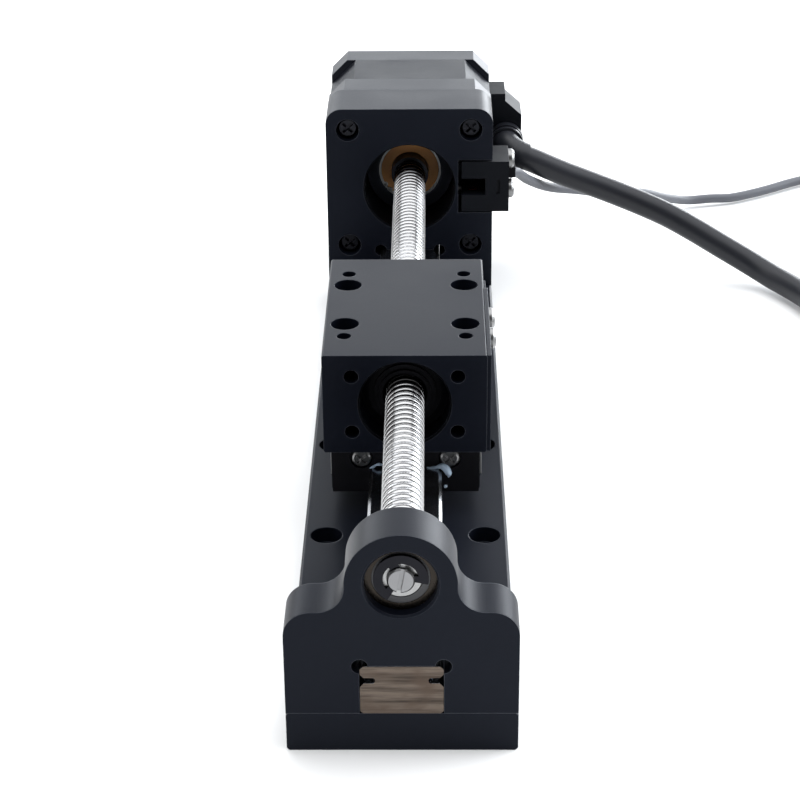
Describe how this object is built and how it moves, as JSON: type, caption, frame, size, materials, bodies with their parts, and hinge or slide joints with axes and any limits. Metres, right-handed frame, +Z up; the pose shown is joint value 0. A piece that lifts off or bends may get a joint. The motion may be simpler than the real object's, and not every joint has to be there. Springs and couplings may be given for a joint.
{
  "type": "ball screw assembly",
  "caption": "Motorised ball screw stage: a stepper motor turns a ball screw that moves a table along a guide rail, with a slot limit sensor and two cables.",
  "frame": {"origin": "middle of the base plate's underside", "axes": "+Z up, +Y along the screw towards the motor, +X across the stage towards the limit sensor and the cables"},
  "size_m": [0.2218, 0.2953, 0.056],
  "materials": {
    "black_anodised": "black anodised, satin",
    "motor_black": "black, satin",
    "laminations": "blackened steel laminations",
    "copper": "enamelled copper wire",
    "rail_steel": "ground, tarnished end",
    "ground_steel": "ground and polished",
    "bearing_steel": "ground steel",
    "plated_screws": "bright plated",
    "black_screws": "black oxide",
    "seal_brown": "orange-brown rubber",
    "rotor_steel": "ground laminations",
    "magnet": "matt",
    "black_plastic": "fine moulded",
    "seal_rubber": "matt",
    "dark_lens": "dark red window",
    "black_cable": "satin jacket",
    "grey_cable": "satin jacket",
    "tie_nylon": "nylon",
    "plug_black": "moulded",
    "plug_white": "moulded nylon"
  },
  "bodies": {
    "base": {"base_plate": "black_anodised", "end_block": "black_anodised", "end_block_screws": "plated_screws", "motor_bracket": "black_anodised", "bracket_screws": "plated_screws", "rail": "rail_steel", "rail_screws": "black_screws", "front_bearing_outer": "bearing_steel", "front_bearing_shields": "bearing_steel", "motor_bearing_outer": "bearing_steel", "motor_bearing_seal": "seal_brown", "retaining_ring": "bearing_steel", "motor_front_cap": "motor_black", "stator": "laminations", "windings": "copper", "motor_rear_cap": "motor_black", "rear_bearing_outer": "bearing_steel", "wave_washer": "bearing_steel", "motor_bolts": "plated_screws", "motor_mount_screws": "black_screws", "sensor_body": "black_plastic", "sensor_screws": "plated_screws", "sensor_windows": "dark_lens", "cable_outlet_box": "black_plastic", "cable_boot": "black_cable", "motor_cable": "black_cable", "motor_cable_coil": "black_cable", "motor_cable_tie": "tie_nylon", "motor_connector": "plug_black", "sensor_cable": "grey_cable", "sensor_cable_boot": "grey_cable", "sensor_cable_coil": "grey_cable", "sensor_cable_tie": "tie_nylon", "sensor_connector": "plug_white"},
    "screw": {"ball_screw": "ground_steel", "e_clip": "black_screws", "screw_collar": "black_screws", "front_bearing_inner": "bearing_steel", "motor_bearing_inner": "bearing_steel", "rear_bearing_inner": "bearing_steel", "rotor_cups": "rotor_steel", "rotor_magnet": "magnet"},
    "carriage": {"table": "black_anodised", "table_screws": "plated_screws", "ball_nut": "ground_steel", "nut_screws": "plated_screws", "nut_balls": "bearing_steel", "nut_wipers": "seal_rubber", "guide_block": "ground_steel", "guide_end_cap_front": "black_plastic", "guide_end_cap_rear": "black_plastic", "guide_seals": "seal_rubber", "guide_cap_screws": "plated_screws", "guide_balls": "bearing_steel", "flag_plate": "black_anodised", "flag_screws": "plated_screws"},
    "front_cage": {"front_bearing_balls": "bearing_steel"},
    "motor_cage": {"motor_bearing_balls": "bearing_steel"},
    "rear_cage": {"rear_bearing_balls": "bearing_steel"}
  },
  "joints": [
    {"name": "screw_spin", "type": "hinge", "parent": "base", "child": "screw", "pos_m": [0, 0, 0.035], "axis": [0, -1, 0], "range_deg": [-10441, 11701]},
    {"name": "carriage_slide", "type": "slide", "parent": "base", "child": "carriage", "axis": [0, 1, 0], "range_m": [-0.058, 0.065]},
    {"name": "front_cage_spin", "type": "hinge", "parent": "base", "child": "front_cage", "pos_m": [0, 0, 0.035], "axis": [0, -1, 0], "range_deg": [-4061, 4551]},
    {"name": "motor_cage_spin", "type": "hinge", "parent": "base", "child": "motor_cage", "pos_m": [0, 0, 0.035], "axis": [0, -1, 0], "range_deg": [-3928.4, 4402.4]},
    {"name": "rear_cage_spin", "type": "hinge", "parent": "base", "child": "rear_cage", "pos_m": [0, 0, 0.035], "axis": [0, -1, 0], "range_deg": [-4061, 4551]}
  ],
  "couplings": [
    {"joint": "screw_spin", "follows": "carriage_slide", "rad_per_m": 3141.6},
    {"joint": "front_cage_spin", "follows": "carriage_slide", "rad_per_m": 1221.7},
    {"joint": "motor_cage_spin", "follows": "carriage_slide", "rad_per_m": 1181.8},
    {"joint": "rear_cage_spin", "follows": "carriage_slide", "rad_per_m": 1221.7}
  ]
}
